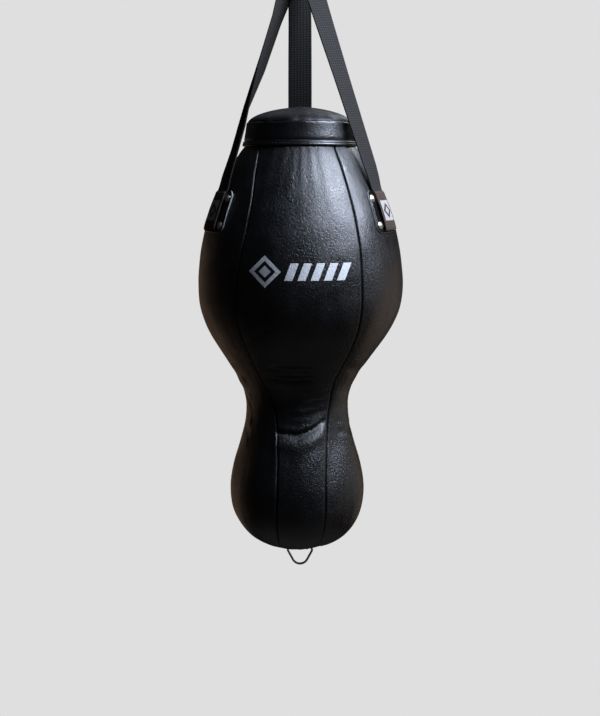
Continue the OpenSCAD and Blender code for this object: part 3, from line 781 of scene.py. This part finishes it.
# %% Build a patch
PATCH_W, PATCH_H, PATCH_T, PATCH_CORNER = 94, 88, 3.4, 14
PATCH_FACE = PATCH_T + 0.2


def build_patch(side):
    turn = ANCHORS[side]
    rim = rounded_outline(PATCH_W, PATCH_H, PATCH_CORNER)
    count = len(rim)
    # A cut wall, a worn rim, a pressed line just inside it, and then the flat face.
    rings = [(1.0, 0.25), (1.0, PATCH_T - 0.7), (0.994, PATCH_T - 0.05), (0.982, PATCH_FACE),
             (0.94, PATCH_FACE)]
    rings += [(0.925, PATCH_T - 0.15), (0.905, PATCH_T - 0.15)]
    rings += [(size, PATCH_FACE) for size in (0.89, 0.8, 0.62, 0.42, 0.2)]
    points = []
    for size, height in rings:
        points += list(lie_on_bag(turn, rim[:, 0] * size, rim[:, 1] * size, height))
    points.append(lie_on_bag(turn, 0.0, 0.0, PATCH_FACE))
    faces = [f[::-1] for f in grid_faces(len(rings), count, around=True)]
    # Slot 1 is the cut wall, coloured pale: partly fibre colour, partly painted highlight.
    slots = [1 if i < 2 * count else 0 for i in range(len(faces))]
    faces += fan(len(points) - 1, (len(rings) - 1) * count, count)
    slots += [0] * count
    piece = make_object(side + "_patch_hide", points, faces,
                        materials=[patch_leather, cut_edge_with_painted_highlight], face_slots=slots)
    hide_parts(side + "_patch")
    return sharpen(piece, 50)


patches = [build_patch(side) for side in ANCHORS]
report(*patches)

# %% [markdown]
# ## Rivets
# Domed rivets with a thin flange hold the patch's corners. They are pressed brass with satin
# nickel plating. Plating is metal, so its colour is the reflection's colour and it keeps the
# default IOR. Faint marks and smears keep it from looking like a perfect mirror.

# %% Metal finishes
def plated_metal(name, colour, rough):
    """Plated metal: a bright, softly brushed coat with faint handling marks about 1 mm apart."""
    material, add = new_material(name)
    at = {"Vector": (add("TexCoord"), "Object")}
    marks = add("TexNoise", at, Scale=1 / 0.0012, Detail=3.0)
    smear = add("TexNoise", at, Scale=1 / 0.012, Detail=2.0)
    dulled = tuple(c * 0.82 for c in hex_colour(colour)[:3]) + (1.0,)
    tone = add("Mix", {"Factor": (smear, "Fac")}, data_type="RGBA", in6=colour, in7=dulled)
    gloss = add("MapRange", {"Value": (smear, "Fac")}, From_Min=0.3, From_Max=0.7,
                To_Min=rough[0], To_Max=rough[1])
    bump = add("Bump", {"Height": (marks, "Fac")}, Strength=0.06, Distance=0.0003)
    return shade(material, tone, gloss, bump, Metallic=1.0)


chrome = plated_metal("satin_chrome_plate", "#c3c6ca", rough=(0.27, 0.38))
nickel = plated_metal("satin_nickel_plate", "#cfc4b6", rough=(0.26, 0.40))
zinc = plated_metal("zinc_plated_wire", "#e4e6ea", rough=(0.34, 0.48))
print("plated metals", chrome.name, nickel.name, zinc.name)

# %% Rivets
RIVET_ACROSS, RIVET_UP = 34, 28


def build_rivets():
    dome = [(0.0, 3.2), (2.2, 3.05), (4.1, 2.6), (5.5, 1.8), (6.2, 1.0)]
    flange = [(6.4, 0.8), (7.3, 0.75), (7.7, 0.45), (7.75, 0.1), (7.5, -0.2)]
    profile = dome + flange
    columns, points, faces = 28, [], []
    turn = circle(columns)
    for anchor in ANCHORS.values():
        for u0 in (-RIVET_ACROSS, RIVET_ACROSS):
            for v0 in (-RIVET_UP, RIVET_UP):
                base = len(points)
                for r, up in profile[1:]:
                    points += list(lie_on_bag(anchor, u0 + r * np.cos(turn), v0 + r * np.sin(turn),
                                              PATCH_FACE + 0.05 + up))
                points.append(lie_on_bag(anchor, u0, v0, PATCH_FACE + 0.05 + profile[0][1]))
                faces += grid_faces(len(profile) - 1, columns, around=True, start=base)
                faces += fan(len(points) - 1, base, columns)
    piece = make_object("patch_rivet_caps", points, faces, materials=[nickel])
    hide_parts("patch_rivets")
    return piece


rivets = build_rivets()
report(rivets)

# %% [markdown]
# ## Webbing
# The straps are woven polyester webbing, 50 mm wide. Ribs run along it about every 2 mm,
# because thick warp threads cover the weft, and the edges are bound. The eye sees dull
# charcoal with fine lines. The weave is drawn from the strap's own flat coordinates. At its
# true spacing it would vanish, so the ribs are drawn 6.6 mm apart and the picks 5 mm.

# %% Webbing finish
def webbing_finish(name, colour, dark, rib=0.0066, mark=None):
    material, add = new_material(name)
    at = {"Vector": (add("UVMap", uv_map="flat"), "UV")}
    ribs = add("TexWave", at, bands_direction="X", Scale=WAVE_REPEAT / rib, Distortion=0.25, Detail=1.0)
    picks = add("TexWave", at, bands_direction="Y", Scale=WAVE_REPEAT / 0.0050, Distortion=0.4, Detail=1.0)
    speck = add("TexNoise", at, Scale=1 / 0.0011, Detail=3.0)
    weave = add("Math", {0: (ribs, "Fac"), 1: (picks, "Fac")}, operation="MULTIPLY")
    grey = add("Math", {0: (speck, "Fac"), 2: (weave, "Value")}, operation="MULTIPLY_ADD", in1=0.55)
    amount = add("MapRange", {"Value": (grey, "Value")}, From_Min=0.1, From_Max=1.2)
    tone = add("Mix", {"Factor": (amount, "Result")}, data_type="RGBA", in6=dark, in7=colour)
    if mark:
        mask = draw_mark(add, at, mark)
        tone = add("Mix", {"Factor": mask, 6: (tone, 2)}, data_type="RGBA", in7="#8d8a88")
    bump = add("Bump", {"Height": (grey, "Value")}, Strength=0.5, Distance=0.0005)
    return shade(material, tone, bump=bump, Roughness=0.72, IOR=1.45,
                 Specular_IOR_Level=0.16, Sheen_Weight=0.02, Sheen_Roughness=0.4)


# A pale block with a dark diamond ring, woven into a label that is 50 mm wide.
WOVEN_STEPS = """
across ABSOLUTE X
up ABSOLUTE Y
reach ADD across up
wide LESS_THAN across 0.019
tall LESS_THAN up 0.021
block MULTIPLY wide tall
outer LESS_THAN reach 0.0165
inner GREATER_THAN reach 0.0085
ring MULTIPLY outer inner
ink SUBTRACT block ring
"""
strap_web = webbing_finish("charcoal_polyester_webbing", "#2d2b29", "#0c0b0b")
label_web = webbing_finish("woven_label", "#4a3d36", "#241c18", rib=0.0044, mark=WOVEN_STEPS)

print("webbings", strap_web.name, label_web.name)

# %% [markdown]
# ## The straps
# Each strap leaves the sewn head under the ring, twists on its way and lies down flat on its
# patch. It is modelled directly: a flat cross-section with rounded edges is carried down the
# strap's middle line and turned a little at each step. The left strap turns most, and webbing
# that twists under load cups across its width, so it never looks thin from its edge.

# %% Middle line and turns of a strap
RING_TURN = 32.0
BEND = 12.0
LEAN = lean_at(ANCHOR_Z)
STRAP_W, STRAP_T = 50, 3.2
STRAP_OFF = PATCH_T + 0.4 + 0.5 + STRAP_T / 2 / math.cos(LEAN)
FREE_END = ANCHOR_Z + 44 * math.cos(LEAN) + 4
LIE_END = ANCHOR_Z - 35.5 * math.cos(LEAN)
FREE_R = float(bag_radius(FREE_END)) + STRAP_OFF
STRAP_CUP = {"left": 9.0}
STRAPS = {
    "left": (0.0, [(0, -148), (0.3, -112), (0.5, -106), (0.64, -90), (0.75, -76), (1, -65)]),
    "right": (-3.45, [(0, 32), (0.2, 38), (0.55, 50), (0.9, 57), (1, 65)]),
    "back": (3.45, [(0, 32), (0.2, 25), (0.6, 7), (1, 0)]),
}


def strap_radius(z):
    u = HEAD - BEND - z
    end = HEAD - BEND - FREE_END
    if z < FREE_END:
        return float(bag_radius(z)) + STRAP_OFF
    return FREE_R * (u + math.hypot(u, 4)) / (end + math.hypot(end, 4))


def strap_share(z):
    return min(1, max(0, (HEAD - BEND - z) / (HEAD - BEND - FREE_END)))


def strap_middle(side, z):
    turn, lift = math.radians(ANCHORS[side]), STRAPS[side][0]
    t = 1 - min(1, strap_share(z) * 3)
    hold = lift * t * t * (3 - 2 * t)
    r, ring = strap_radius(z), math.radians(RING_TURN)
    return np.array([r * math.sin(turn) - hold * math.sin(ring),
                     -r * math.cos(turn) + hold * math.cos(ring), z])


print("free length starts at", round(BAR_Z - 10), "and ends at", round(FREE_END, 1), "mm")

# %% Sweep the webbing
def web_section(width, thickness):
    """A flat section with rounded, slightly thicker edges: (across, through) points, going round."""
    half, t = width / 2, thickness / 2
    across = [-1, -0.985, -0.95, -0.9, -0.75, -0.5, -0.25, 0, 0.25, 0.5, 0.75, 0.9, 0.95, 0.985, 1]
    bound = [0.0, 0.75, 1.0, 1.02, 0.9, 0.9, 0.9, 0.9, 0.9, 0.9, 0.9, 1.02, 1.0, 0.75, 0.0]
    top = [(a * half, b * t) for a, b in zip(across, bound)]
    return top + [(a * half, -b * t) for a, b in list(zip(across, bound))[::-1][1:-1]]


def build_strap(side):
    turn = math.radians(ANCHORS[side])
    section = web_section(STRAP_W, STRAP_T)
    heights = list(np.linspace(BAR_Z - 10, HEAD - 24, 14))
    heights += list(np.linspace(HEAD - 24, FREE_END, 90))[1:]
    heights += list(np.linspace(FREE_END, LIE_END, 22))[1:]
    shares, turns = zip(*STRAPS[side][1])
    points, uv, length, last = [], [], 0.0, None
    outward_dir = np.array([math.sin(turn), -math.cos(turn), 0])
    for z in heights:
        middle = strap_middle(side, z)
        along = strap_middle(side, z - 1) - strap_middle(side, z + 1)
        along /= np.linalg.norm(along)
        a = math.radians(np.interp(strap_share(z), shares, turns))
        flat = np.array([math.cos(a), math.sin(a), 0])
        wide = flat - flat.dot(along) * along
        wide /= np.linalg.norm(wide)
        thick = np.cross(along, wide)
        out = 1 if thick.dot(outward_dir) > 0 else -1
        t = min(1, max(0, (FREE_END + 30 - z) / 30))
        hug, round_r = t * t * (3 - 2 * t), float(bag_radius(min(z, FREE_END))) + STRAP_OFF
        twist = min(1, max(0, (strap_share(z) - 0.28) / 0.70))
        cup = STRAP_CUP.get(side, 0.0) * math.sin(math.pi * twist) ** 1.3
        length += 0 if last is None else float(np.linalg.norm(middle - last))
        last = middle
        for q, through in section:
            sag = round_r - math.sqrt(round_r ** 2 - q ** 2)
            bow = cup * (1 - (2 * q / STRAP_W) ** 2) - hug * sag
            points.append(middle + wide * q + thick * (through + out * bow))
            uv.append((q, length))
    faces = tube_faces(len(heights), len(section))
    piece = make_object(side + "_strap_web", points, faces, materials=[strap_web], uv=uv)
    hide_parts(side + "_strap")
    return sharpen(piece, 60), length


straps = {side: build_strap(side) for side in STRAPS}
print("strap lengths mm", {k: round(v[1]) for k, v in straps.items()})

# %% [markdown]
# ## Labels
# A short woven label covers each strap's lower end. It is the full height of the patch, so
# the strap slips in under its top edge. Both ends are folded under and sewn.

# %% Build a label
LABEL_HALF = 41.5


def build_label(side):
    turn = ANCHORS[side]
    columns, rows = 22, 26
    base_height = STRAP_OFF * math.cos(LEAN) + STRAP_T / 2 + 0.15
    points, uv = [], []
    across = np.linspace(-STRAP_W / 2, STRAP_W / 2, columns)
    up = np.linspace(LABEL_HALF, -LABEL_HALF, rows)
    for face in (1, 0):
        for v in up:
            edge = min(1, (LABEL_HALF - abs(v)) / 3)
            height = base_height + (2.2 * math.sqrt(max(0.02, 1 - (1 - edge) ** 2)) if face else 0)
            side_drop = np.where(np.abs(across) > STRAP_W / 2 - 1, 0.6 if face else 0, 0)
            points += list(lie_on_bag(turn, across, v + 0 * across, height - side_drop))
            uv += [(u, v) for u in across]
    half = rows * columns
    faces = grid_faces(rows, columns)
    faces += [tuple(half + i for i in f[::-1]) for f in grid_faces(rows, columns)]
    ring = list(range(columns)) + [columns * i + columns - 1 for i in range(1, rows)]
    ring += [half - 1 - k for k in range(1, columns)] + [columns * i for i in range(rows - 2, 0, -1)]
    faces += [(a, b, half + b, half + a) for a, b in zip(ring, ring[1:] + ring[:1])]
    piece = make_object(side + "_label_web", points, faces, materials=[label_web], uv=uv)
    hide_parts(side + "_label")
    return sharpen(piece, 50)


labels = [build_label(side) for side in ANCHORS]
report(*labels)

# %% [markdown]
# ## Folded webs
# A short web wraps the ring's bar above the bag and holds the three strap ends between its
# legs. A smaller one, the tab, wraps the bottom ring's bar and runs up into the base.

# %% Fold a web round a bar
def folded_web(name, width, inner, thickness, leg, bar_z, up, turn, replaced, shift=0.0):
    """A web folded round a bar along X. up is +1 when its legs reach up, -1 when they hang down."""
    loop = inner + thickness / 2
    path = [(-loop, leg * (1 - k / 8)) for k in range(8)]
    path += [(-loop * math.cos(math.radians(a)), -loop * math.sin(math.radians(a)))
             for a in range(0, 181, 15)]
    path += [(loop, leg * k / 8) for k in range(1, 9)]
    path = np.array(path)
    ahead = np.gradient(path, axis=0)
    ahead /= np.linalg.norm(ahead, axis=1)[:, None]
    across_dir = np.stack([-ahead[:, 1], ahead[:, 0]], -1)
    section, points, uv, run = web_section(width, thickness), [], [], 0.0
    c, s = math.cos(math.radians(turn)), math.sin(math.radians(turn))
    for i, (p, n) in enumerate(zip(path, across_dir)):
        run += 0 if i == 0 else float(np.linalg.norm(path[i] - path[i - 1]))
        for q, through in section:
            y, z = p + n * through
            points.append((q * c - y * s + shift, q * s + y * c, bar_z + up * z))
            uv.append((q, run))
    faces = tube_faces(len(path), len(section))
    if up > 0:
        faces = [f[::-1] for f in faces]
    piece = make_object(name, points, faces, materials=[strap_web], uv=uv)
    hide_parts(replaced)
    return sharpen(piece, 60)


LOW_BAR = BASE - 2.4 - 2.2 - 0.5
wrap = folded_web("ring_wrap_web", STRAP_W, 5.3, 2.5, 60, BAR_Z, -1, RING_TURN, "ring_wrap")
tab = folded_web("ring_tab_web", 36, 2.7, 2.2, BASE + 15 - LOW_BAR, LOW_BAR, 1, 0.0, "ring_tab")
report(wrap, tab)

# %% Box stitch on the strap head
def box_stitch():
    """The sewn box with a cross that holds the three straps in the head, on both faces."""
    w, top, low = 19.0, BAR_Z - 16, HEAD + 6
    corners = [(-w, top), (w, top), (w, low), (-w, low), (-w, top), (w, low), (w, top), (-w, low)]
    c, s = math.cos(math.radians(RING_TURN)), math.sin(math.radians(RING_TURN))
    centres, along, out = [], [], []
    for face in (-1, 1):
        for (x0, z0), (x1, z1) in zip(corners, corners[1:]):
            run = math.hypot(x1 - x0, z1 - z0)
            for k in range(int(run / HEAD_PITCH)):
                f = (k + 0.5) * HEAD_PITCH / run
                x, z, y = x0 + (x1 - x0) * f, z0 + (z1 - z0) * f, face * 7.75
                centres.append((x * c - y * s, x * s + y * c, z))
                along.append(((x1 - x0) / run * c, (x1 - x0) / run * s, (z1 - z0) / run))
                out.append((-face * s, face * c, 0))
    return stitches("strap_head_thread", np.array(centres), np.array(along), np.array(out), 3.4, 0.5,
                    thread_finish("grey_nylon_thread", "#6c6f76"))


head_thread = box_stitch()
report(head_thread)

# %% [markdown]
# ## Metal pieces kept from the CAD
# The ring, clevis, swivel and bottom ring are exact in the CAD model, so they stay and only
# get their finish: satin chrome plate above, zinc plate on the wire ring below the ball,
# and ground steel for the bearing's insides.

# %% Finish the metal pieces
def ground_steel(name):
    """Ground bearing steel under a film of grease: its fine turning lines are drawn 3 mm apart."""
    material, add = new_material(name)
    at = {"Vector": (add("TexCoord"), "Object")}
    lines = add("TexWave", at, wave_type="RINGS", rings_direction="Z", Scale=WAVE_REPEAT / 0.003,
                Distortion=0.6, Detail=2.0)
    tone = add("Mix", {"Factor": (lines, "Fac")}, data_type="RGBA", in6="#9b9da1", in7="#7f8185")
    bump = add("Bump", {"Height": (lines, "Fac")}, Strength=0.1, Distance=0.0002)
    gloss = add("MapRange", {"Value": (lines, "Fac")}, To_Min=0.26, To_Max=0.38)
    return shade(material, tone, gloss, bump, Metallic=1.0, Coat_Weight=0.3, Coat_Roughness=0.2)


steel = ground_steel("ground_bearing_steel")
FINISH = {
    chrome: ["swivel_eye_bolt", "swivel_housing", "swivel_clevis", "clevis_pin", "clevis_pin_nut",
             "top_ring"],
    zinc: ["bottom_ring"],
    steel: ["swivel_nut", "swivel_split_pin", "bearing_lower_race", "bearing_balls", "bearing_upper_race"],
}
for material, names in FINISH.items():
    for name in names:
        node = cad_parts[name]
        node.data.materials.clear()
        node.data.materials.append(material)
print("metal pieces", sum(len(v) for v in FINISH.values()))

# %% [markdown]
# ## The studio
# The bag hangs clear of a pale floor that runs up into a pale backdrop with no corner. The
# backdrop glows evenly and is left out of reflections, so black leather stays black. One
# broad soft light stands high on the right, with weak warm panels at both sides and weak
# lights behind, so the back of the bag shows its form too.

# %% Floor and backdrop
def build_backdrop():
    rows = []
    for x in (-9.0, 9.0):
        line = [(-7.0, -2.3), (2.5, -2.3)]
        bend = [math.radians(a) for a in range(10, 91, 10)]
        line += [(2.5 + 2.0 * math.sin(a), -0.3 - 2.0 * math.cos(a)) for a in bend]
        line += [(4.5, 6.0)]
        rows.append([(x, y, z) for y, z in line])
    count = len(rows[0])
    mesh = bpy.data.meshes.new("pale_backdrop")
    mesh.from_pydata(rows[0] + rows[1], [], [(i, i + 1, count + i + 1, count + i) for i in range(count - 1)])
    backdrop = new_object("pale_backdrop", mesh)
    for polygon in mesh.polygons:
        polygon.use_smooth = True
    material, add = new_material("pale_paper")
    add("OutputMaterial", {"Surface": (add("Emission", Color="#dfdfdf", Strength=1.0), "Emission")})
    mesh.materials.append(material)
    backdrop.visible_glossy = False
    backdrop.visible_diffuse = False
    backdrop.visible_shadow = False
    return backdrop


backdrop = build_backdrop()
world = bpy.data.worlds.new("studio")
bpy.context.scene.world = world
world.use_nodes = True
dim = world.node_tree.nodes["Background"]
dim.inputs["Color"].default_value = hex_colour("#b9bcc2")
dim.inputs["Strength"].default_value = 0.032
pale = add_node(world.node_tree, "Background", Color="#dfdfdf", Strength=1.0)
seen = add_node(world.node_tree, "LightPath")
both = add_node(world.node_tree, "MixShader",
                {"Fac": (seen, "Is Camera Ray"), 1: (dim, "Background"), 2: (pale, "Background")})
world.node_tree.links.new(both.outputs["Shader"], world.node_tree.nodes["World Output"].inputs["Surface"])

print("world nodes", len(world.node_tree.nodes))

# %% Lights
def soft_light(name, azimuth, elevation, distance, width, height, power, colour, aim=(0, 0, -0.95)):
    light = bpy.data.lights.new(name, "AREA")
    light.shape, light.size, light.size_y, light.energy = "RECTANGLE", width, height, power
    light.color = hex_colour(colour)[:3]
    lamp = new_object(name, light)
    a, e = math.radians(azimuth), math.radians(elevation)
    aim = Vector(aim)
    towards = Vector((math.sin(a) * math.cos(e), -math.cos(a) * math.cos(e), math.sin(e)))
    lamp.location = aim + distance * towards
    lamp.rotation_euler = (aim - lamp.location).to_track_quat("-Z", "Y").to_euler()
    return lamp


soft_light("window_right", 66, 44, 2.7, 1.4, 1.5, 262, "#dce7fb", aim=(0, 0, -0.8))
soft_light("side_right", 88, 4, 3.0, 1.6, 2.6, 9, "#e6ecf5")
soft_light("wall_right", 122, -18, 3.0, 2.2, 2.4, 6.5, "#ffe4c8")
soft_light("wall_left", -140, -17, 3.0, 2.0, 2.4, 3.4, "#ffd2ae")
soft_light("cool_front", -28, 22, 3.2, 1.6, 2.0, 0.35, "#bcd6ff")
soft_light("back_high", 186, 52, 2.8, 1.6, 1.6, 5, "#e9f0ff", aim=(0, 0, -0.8))
soft_light("back_right", 146, 36, 3.0, 1.5, 1.5, 30, "#e4ecfa", aim=(0, 0, -0.8))
soft_light("floor_glow", 20, -85, 1.6, 1.9, 1.9, 1.2, "#e4e0dc")

print("lights", len(bpy.data.lights))

# %% [markdown]
# ## The camera
# It stands two and a half metres in front of the bag, a little under the collar, and looks a
# little down, so the bag stands straight and the ring underneath shows. The lens is long, so
# the bag keeps nearly the same width from top to bottom of the view.

# %% Camera
camera_data = bpy.data.cameras.new("camera")
camera = new_object("camera", camera_data)
camera_data.sensor_width = 36.0
camera_data.lens = 1204.0 / 716.0 * camera_data.sensor_width
camera.location = (0.0, -2.5, -0.666)
camera.rotation_euler = (math.pi / 2 - 0.1557, 0.0, 0.0)
bpy.context.scene.camera = camera
bpy.context.scene.view_settings.view_transform = "Standard"
bpy.context.scene.view_settings.look = "None"
print("camera lens mm", round(camera_data.lens, 1))
